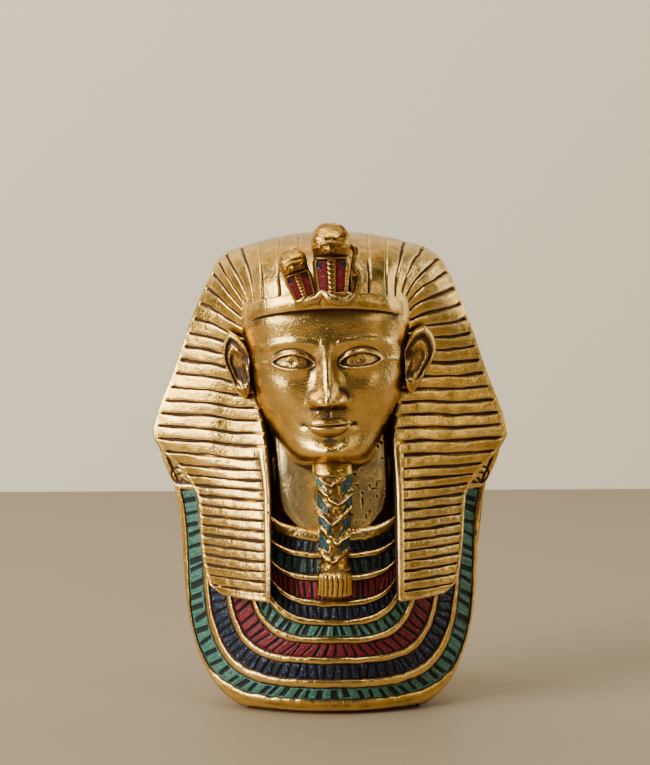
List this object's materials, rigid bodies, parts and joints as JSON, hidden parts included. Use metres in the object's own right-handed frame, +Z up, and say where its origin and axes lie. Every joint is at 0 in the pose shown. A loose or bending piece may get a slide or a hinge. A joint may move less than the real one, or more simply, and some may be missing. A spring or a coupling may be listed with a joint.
{
  "type": "pharaoh bust",
  "caption": "Small gilded souvenir bust of a pharaoh with striped headcloth, brow cobras, plaited beard and enamelled broad collar, standing on its flat foot.",
  "frame": {"origin": "centre of the foot's flat underside", "axes": "+Z up; the face looks towards -Y; +X is on the viewer's right when facing the bust"},
  "size_m": [0.0746, 0.0461, 0.1001],
  "materials": {
    "gilding": "bright polished gilding on the raised carving, worn to dark brown in the grooves",
    "turquoise_enamel": "semi-gloss brushed enamel",
    "blue_enamel": "semi-gloss brushed enamel",
    "red_enamel": "semi-gloss brushed enamel"
  },
  "bodies": {
    "root": {"bust": "gilding"}
  },
  "joints": []
}
